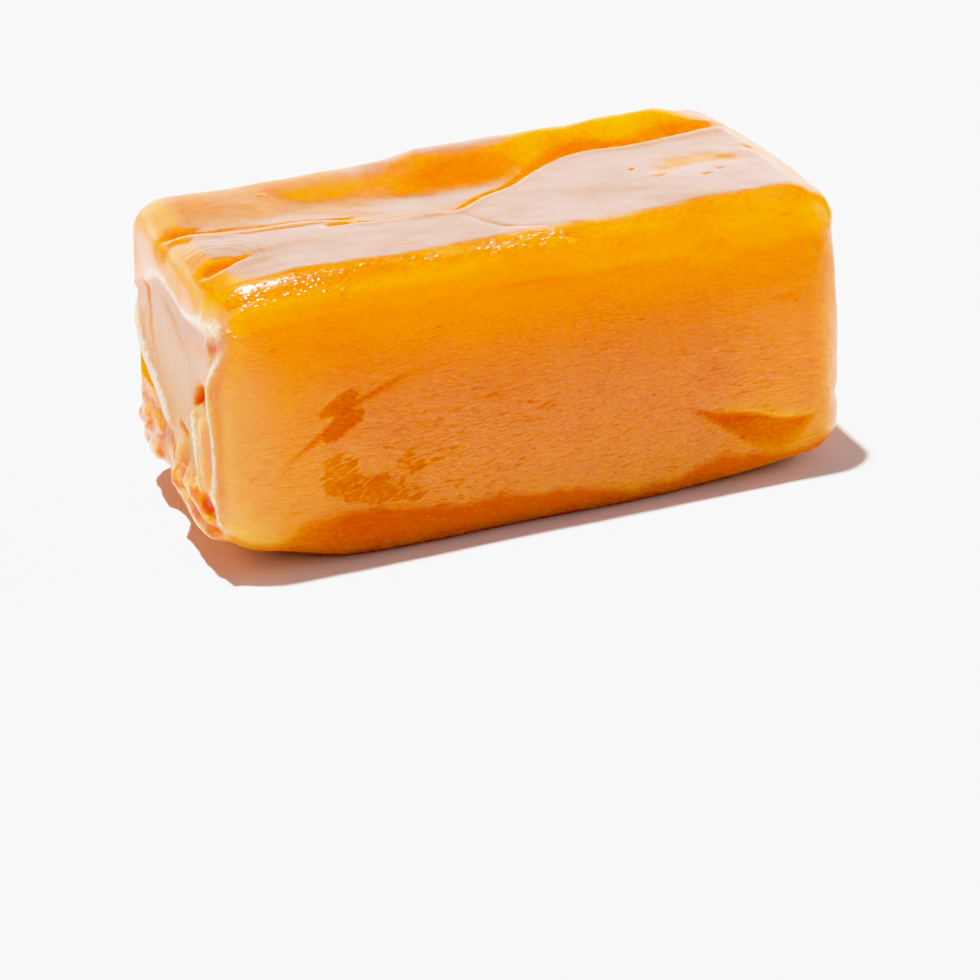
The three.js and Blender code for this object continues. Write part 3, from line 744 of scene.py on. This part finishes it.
# ---- Material ----
HONEY, AMBER_AND_SHADE = (0.96, 0.265, 0.002, 1), (0.62, 0.095, 0.001, 1)  # the lighter honey, and the amber that is partly its own and partly painted shade
SHADED_TOP = (0.33, 0.085, 0.006, 1)  # painted shade on the flat of the top, darker than its edges
SHEEN_PEACH = (0.95, 0.42, 0.13, 1)  # painted sheen and glow on the front beside the left cut
MILKY_AND_SHEEN, WHITE_AND_GLINT = (0.66, 0.245, 0.1, 1), (0.88, 0.64, 0.52, 1)  # where the blade has stretched it, and its rims, both partly a painted sheen and highlight
SCATTER = {"radius": (1.0, 0.4, 0.1), "scale": 8.0}  # how far red, green and blue go, times millimetres
IOR = 1.38
SHEEN = 0.62  # where the surface isn't dull
ROUGHNESS, WET, SOFTENED = (0.15, 0.26), 0.04, 0.02  # its range, less where wet and more at the corner
# Noises: their lumps' size in millimetres along X, Y and Z, how fine and twisted they are, and their turn.
NOISES = {
    "mottle": {"size": (11, 11, 11), "detail": 3},
    "gloss": {"size": (2, 2, 2), "detail": 4},
    "grain": {"size": (0.3, 0.2, 0.13), "detail": 3},
    "pits": {"size": (0.9, 0.7, 0.6), "detail": 3},
    "dash": {"size": (0.6, 0.4, 0.13), "detail": 2, "distortion": 0.3, "turn": -0.08},
    "stuck": {"size": (0.8, 0.45, 0.3), "detail": 5, "distortion": 1.1, "turn": -0.45},
    "flakes": {"size": (1.3, 1.1, 0.8), "detail": 2.5, "distortion": 0.9, "turn": 0.5},
    "crinkle": {"size": (0.5, 0.22, 0.5), "detail": 3, "distortion": 1.5},
}
# The noise at which each thing begins and the noise at which it is full.
DASH, STUCK, CRINKLE, GLOSS = (0.61, 0.65), (0.5, 0.55), (0.35, 0.55), (0.3, 0.7)
FLAKE, GAP_SHADE = (0.53, 0.6), (0.5, 0.44)
STUCK_SHIFT = (-0.3, 0.36)  # how far the zone shifts that noise, outside and inside a blotch
# How much each adds to the amber (in the gaps as painted shade), how milky the flakes are, and how many fewer
# the far ones.
MORE_AMBER = {"mottle": 0.25, "grain": 0.9, "dash": 0.3, "stuck": 0.35, "gap_shade": 0.6}
FLAKY = {"pale_and_sheen": 0.6, "fewer": 0.4}
PALE = {"milky": 0.55, "whitest": 0.9, "crinkled": 0.75}  # all milky here, white at most, less in a crinkle
# How high each fine texture stands in millimetres, or how deep where it is negative.
TEXTURES = {"pits": 0.1, "grain": 0.12, "dash": -0.05, "stuck": -0.03, "pimples": 0.06, "rings": 0.006,
            "scrapes": 0.2}
PIMPLE = {"size": (0.35, 0.22, 0.22), "radius": 0.45, "on_foot": 0.15}
RINGS_MIDDLE = (-15.5, -3.7, 0)
RING_WAVES = {"Scale": 0.6, "Distortion": 5, "Detail": 1, "Detail Scale": 0.6}


def caramel_material():
    material = bpy.data.materials.new("soft_caramel")
    material.use_nodes = True
    nodes, links = material.node_tree.nodes, material.node_tree.links
    shader = nodes["Principled BSDF"]
    shader.subsurface_method = "RANDOM_WALK"
    shader.inputs["Subsurface Weight"].default_value = 1.0
    shader.inputs["Subsurface Radius"].default_value = SCATTER["radius"]
    shader.inputs["Subsurface Scale"].default_value = SCATTER["scale"] * MM
    shader.inputs["IOR"].default_value = IOR
    place = nodes.new("ShaderNodeTexCoord").outputs["Object"]

    def put(value, socket):
        if isinstance(value, bpy.types.NodeSocket):
            links.new(value, socket)
        else:
            socket.default_value = value

    def zone(name):
        node = nodes.new("ShaderNodeAttribute")
        node.attribute_name = name
        return node.outputs["Fac"]

    def maths(operation, a, b, clamp=False):
        node = nodes.new("ShaderNodeMath")
        node.operation = operation
        node.use_clamp = clamp
        put(a, node.inputs[0])
        put(b, node.inputs[1])
        return node.outputs[0]

    def plus(a, b, clamp=False):
        return maths("ADD", a, b, clamp)

    def times(a, b):
        return maths("MULTIPLY", a, b)

    def mapped(value, from_min, from_max, to_min, to_max):
        node = nodes.new("ShaderNodeMapRange")
        for number, socket in zip((value, from_min, from_max, to_min, to_max), node.inputs):
            put(number, socket)
        return node.outputs["Result"]

    def stretched(size, turn=0.0, middle=(0, 0, 0)):
        node = nodes.new("ShaderNodeMapping")
        node.vector_type = "TEXTURE"
        node.inputs["Location"].default_value = [m * MM for m in middle]
        node.inputs["Scale"].default_value = [s * MM for s in size]
        node.inputs["Rotation"].default_value = (0, turn, 0)
        links.new(place, node.inputs["Vector"])
        return node.outputs["Vector"]

    def noise_of(size, detail, distortion=0.0, turn=0.0):
        node = nodes.new("ShaderNodeTexNoise")
        node.inputs["Scale"].default_value = 1
        node.inputs["Detail"].default_value = detail
        node.inputs["Distortion"].default_value = distortion
        links.new(stretched(size, turn), node.inputs["Vector"])
        return node.outputs["Fac"]

    def blend(factor, a, b):
        node = nodes.new("ShaderNodeMix")
        node.data_type = "RGBA"
        for value, name in ((factor, "Factor"), (a, "A"), (b, "B")):
            put(value, node.inputs[name])
        return node.outputs["Result"]

    clouds = {name: noise_of(**settings) for name, settings in NOISES.items()}
    # short dashes where the skin has shrunk, as light as a scratch
    dash = times(mapped(clouds["dash"], *DASH, 0, 1), zone("dashes"))
    # blotches where the wrapper has stuck and pulled the skin's sheen off
    stuck = mapped(plus(clouds["stuck"], mapped(zone("stuck"), 0, 1, *STUCK_SHIFT)), *STUCK, 0, 1)
    # low on the ends it is torn into milky flakes, with painted shade in the gaps between them
    gap_shade = times(mapped(clouds["flakes"], *GAP_SHADE, 0, MORE_AMBER["gap_shade"]), zone("foot"))
    flaky = maths("SUBTRACT", zone("foot"), times(zone("far"), FLAKY["fewer"]))
    flake = times(mapped(clouds["flakes"], *FLAKE, 0, FLAKY["pale_and_sheen"]), flaky)

    mottle = times(maths("SUBTRACT", clouds["mottle"], 0.5), MORE_AMBER["mottle"])
    grain = times(maths("SUBTRACT", clouds["grain"], 0.5), MORE_AMBER["grain"])
    # the amber, partly the caramel's own mottle and grain and partly painted shade
    depth = plus(plus(zone("amber_and_shade"), mottle), plus(grain, times(dash, MORE_AMBER["dash"])))
    depth = plus(depth, times(stuck, MORE_AMBER["stuck"]), clamp=True)
    depth = plus(depth, gap_shade, clamp=True)
    # the blade's fine crinkles thin out the milky parts
    crinkled = mapped(clouds["crinkle"], *CRINKLE, PALE["crinkled"], 1)
    pale_and_sheen = times(maths("MAXIMUM", zone("pale_and_sheen"), flake), crinkled)
    # painted shade: amber in creases, gaps and low down, and the darker flat of the top
    colour = blend(zone("skin"), blend(depth, HONEY, AMBER_AND_SHADE), SHADED_TOP)
    # painted sheen and glow beside the left cut
    colour = blend(zone("painted_sheen"), colour, SHEEN_PEACH)
    # milky and white where stretched, partly a painted sheen and highlight
    colour = blend(mapped(pale_and_sheen, 0, PALE["milky"], 0, 1), colour, MILKY_AND_SHEEN)
    colour = blend(mapped(pale_and_sheen, PALE["milky"], 1, 0, PALE["whitest"]), colour, WHITE_AND_GLINT)
    links.new(colour, shader.inputs["Base Color"])

    dull = plus(plus(zone("dull"), dash), stuck, clamp=True)
    links.new(mapped(dull, 0, 1, SHEEN, 0), shader.inputs["Specular IOR Level"])
    gloss = mapped(clouds["gloss"], *GLOSS, *ROUGHNESS)
    gloss = maths("SUBTRACT", gloss, times(maths("MAXIMUM", zone("blisters"), zone("wet")), WET))
    links.new(plus(gloss, times(zone("corner"), SOFTENED)), shader.inputs["Roughness"])

    pimples = nodes.new("ShaderNodeTexVoronoi")
    pimples.inputs["Scale"].default_value = 1
    links.new(stretched(PIMPLE["size"]), pimples.inputs["Vector"])
    pimply = maths("MAXIMUM", zone("blisters"), times(zone("foot"), PIMPLE["on_foot"]))

    rings = nodes.new("ShaderNodeTexWave")
    rings.wave_type = "RINGS"
    rings.rings_direction = "Z"
    for name, value in RING_WAVES.items():
        rings.inputs[name].default_value = value
    links.new(stretched((1, 1, 1), middle=RINGS_MIDDLE), rings.inputs["Vector"])

    heights = {
        "pits": times(clouds["pits"], zone("rugged")),
        "grain": times(clouds["grain"], zone("rugged")),
        "dash": dash,
        "stuck": stuck,
        "pimples": times(mapped(pimples.outputs["Distance"], 0, PIMPLE["radius"], 1, 0), pimply),
        "rings": times(rings.outputs["Fac"], zone("rings")),
        "scrapes": times(clouds["crinkle"], zone("scrapes")),
    }
    normal = None
    for name, height in heights.items():
        bump = nodes.new("ShaderNodeBump")
        bump.inputs["Distance"].default_value = abs(TEXTURES[name]) * MM
        bump.invert = TEXTURES[name] < 0
        links.new(height, bump.inputs["Height"])
        if normal:
            links.new(normal, bump.inputs["Normal"])
        normal = bump.outputs["Normal"]
    links.new(normal, shader.inputs["Normal"])
    return material


def floor_material():
    material = bpy.data.materials.new("white_floor")
    material.use_nodes = True
    shader = material.node_tree.nodes["Principled BSDF"]
    shader.inputs["Base Color"].default_value = (0.88, 0.88, 0.88, 1)
    shader.inputs["Roughness"].default_value = 0.9
    shader.inputs["Specular IOR Level"].default_value = 0.1
    return material


# ---- Studio ----
FLOOR_RADIUS = 1.5  # metres


def make_floor():
    bpy.ops.mesh.primitive_circle_add(vertices=96, radius=FLOOR_RADIUS, fill_type="NGON")
    floor = bpy.context.object
    floor.name = "studio_floor"
    floor.data.materials.append(floor_material())


SKY = 0.25  # plain white light from all round
SUN = {"name": "key", "towards": (-0.12, 0.1, 0.97), "strength": 7.7, "angle": 3}
# Soft boxes: where each hangs, a metre from the caramel, its size in metres and its radiance. Some
# light the caramel without showing in its gloss, so that the edges keep their colour.
PANELS = [
    {"name": "wall_behind", "towards": (0.24, 0.9, 0.33), "size": (1.7, 0.56), "radiance": 3.9,
     "in_gloss": True},
    {"name": "wall_back_left", "towards": (-0.75, 0.7, 0.33), "size": (0.8, 0.5), "radiance": 2.5,
     "in_gloss": True},
    {"name": "strip_above", "towards": (-0.1, 0.12, 0.97), "size": (0.42, 0.05), "radiance": 320.0,
     "in_gloss": True, "faces_down": True},
    {"name": "wall_left", "towards": (-1, 0.1, 0.35), "size": (0.8, 0.5), "radiance": 2.0, "in_gloss": True},
    {"name": "wall_right", "towards": (1, -0.15, 0.3), "size": (0.5, 0.4), "radiance": 2.0, "in_gloss": True},
    {"name": "fill_right", "towards": (0.95, -0.1, 0.4), "size": (0.6, 0.5), "radiance": 3.0,
     "in_gloss": False},
]


def make_sky():
    world = bpy.data.worlds.new("studio")
    bpy.context.scene.world = world
    world.use_nodes = True
    world.node_tree.nodes["Background"].inputs["Color"].default_value = (1, 1, 1, 1)
    world.node_tree.nodes["Background"].inputs["Strength"].default_value = SKY
    world.cycles_visibility.glossy = False


def make_sun():
    data = bpy.data.lights.new(SUN["name"], "SUN")
    data.energy = SUN["strength"]
    data.angle = math.radians(SUN["angle"])
    key = bpy.data.objects.new(SUN["name"], data)
    key.rotation_euler = Vector(SUN["towards"]).to_track_quat("Z", "Y").to_euler()
    bpy.context.scene.collection.objects.link(key)


def make_panels():
    for panel in PANELS:
        data = bpy.data.lights.new(panel["name"], "AREA")
        data.shape = "RECTANGLE"
        data.size, data.size_y = panel["size"]
        data.energy = panel["radiance"] * math.pi * data.size * data.size_y
        towards = Vector(panel["towards"]).normalized()
        box = bpy.data.objects.new(panel["name"], data)
        box.location = towards
        if not panel.get("faces_down"):
            box.rotation_euler = towards.to_track_quat("Z", "Y").to_euler()
        box.visible_camera = False
        box.visible_diffuse = not panel["in_gloss"]
        box.visible_glossy = panel["in_gloss"]
        bpy.context.scene.collection.objects.link(box)


# How light prints: each brightness, and the part of white it prints as.
FILM = [
    (0, 0), (0.15, 0.15), (0.3, 0.29), (0.5, 0.48), (0.78, 0.65), (1.0, 0.735), (1.3, 0.835), (1.65, 0.915),
    (2.3, 0.94), (4, 0.97), (6, 1),
]
FILM_BLACK = 0.02


def set_film():
    view = bpy.context.scene.view_settings
    view.view_transform = "Standard"
    view.use_curve_mapping = True
    brightest = FILM[-1][0]
    view.curve_mapping.white_level = [brightest] * 3
    view.curve_mapping.black_level = [FILM_BLACK] * 3
    curve = view.curve_mapping.curves[3]
    for light, printed in FILM[1:-1]:
        curve.points.new(light / brightest, printed)
    view.curve_mapping.update()


# The camera that sees the photograph's view, about the straight block's middle, in millimetres.
CAMERA_AT = (-51.72, -141.73, 66.48)
CAMERA_TOWARDS = (0.3122, 0.8532, -0.4179)
CAMERA_ROLL = -2.5  # degrees
VIEW_TOP = 14.4  # the height of the block's top in the camera's own measure
SENSOR = 36.0
FOCAL = 3000 / 980 * SENSOR  # 3000 pixels of a photograph that is 980 wide


def make_camera():
    data = bpy.data.cameras.new("camera")
    data.sensor_width = SENSOR
    data.lens = FOCAL
    data.clip_start = 0.01
    data.clip_end = 10
    camera = bpy.data.objects.new("camera", data)
    towards = Vector(CAMERA_TOWARDS).normalized()
    right = Vector((towards.y, -towards.x, 0)).normalized()
    up = right.cross(towards)
    roll = math.radians(CAMERA_ROLL)
    right, up = (
        right * math.cos(roll) + up * math.sin(roll),
        up * math.cos(roll) - right * math.sin(roll),
    )
    at = Vector(CAMERA_AT) + Vector((-OFF_CENTRE[0], -OFF_CENTRE[1], HEIGHT - FOOT_CUT - VIEW_TOP))
    turn = Matrix((right, up, -towards)).transposed().to_4x4()
    camera.matrix_world = Matrix.Translation(at * MM) @ turn
    bpy.context.scene.collection.objects.link(camera)
    bpy.context.scene.camera = camera


def make_caramel():
    caramel = bpy.data.objects.new("caramel_block", caramel_mesh())
    bpy.context.scene.collection.objects.link(caramel)
    caramel.data.materials.append(caramel_material())
    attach(caramel, "root")
    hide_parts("caramel")


make_camera()
make_floor()
make_sky()
make_sun()
make_panels()
make_caramel()
set_film()
